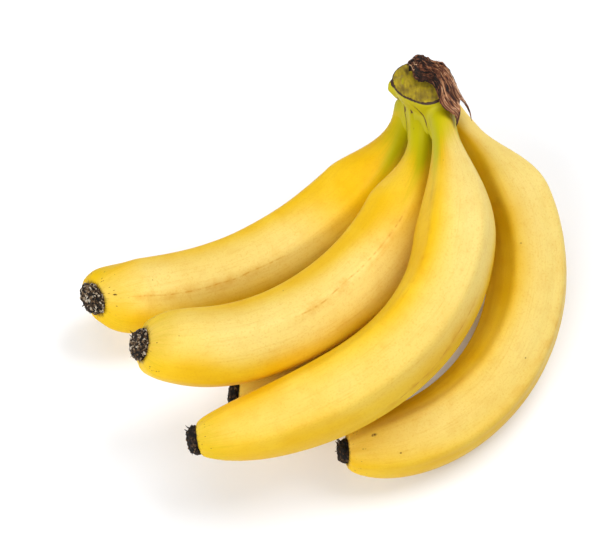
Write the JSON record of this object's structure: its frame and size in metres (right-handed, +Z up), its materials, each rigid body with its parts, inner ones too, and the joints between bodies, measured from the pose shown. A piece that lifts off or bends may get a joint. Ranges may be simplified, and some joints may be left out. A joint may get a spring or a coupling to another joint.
{
  "type": "bunch of bananas",
  "caption": "Ripe yellow bananas still joined at a green crown with a dried scale, lying curved to one side on their lower fingers.",
  "frame": {"origin": "under the middle of the bunch's box, on the surface it lies on", "axes": "+Z up; the crown is at the back right, towards +X and +Y; the fingers bend round to the left, towards -X, and their tips point that way"},
  "size_m": [0.2075, 0.1789, 0.085],
  "materials": {
    "peel": "smooth waxy ripe banana peel, yellow with green necks and fine brown flecks",
    "crown_skin": "satin yellow-green skin with an olive cut face and a dark dried rim",
    "dried_scale": "matt dried brown plant fibre, torn at the edge",
    "dried_blossom": "matt dried black-brown crust with pale specks"
  },
  "bodies": {
    "root": {"crown": "crown_skin", "bract": "dried_scale", "finger_back": "peel", "finger_middle": "peel", "finger_top": "peel", "finger_right": "peel", "finger_under": "peel", "blossom_end_back": "dried_blossom", "blossom_end_middle": "dried_blossom", "blossom_end_top": "dried_blossom", "blossom_end_right": "dried_blossom", "blossom_end_under": "dried_blossom"}
  },
  "joints": []
}
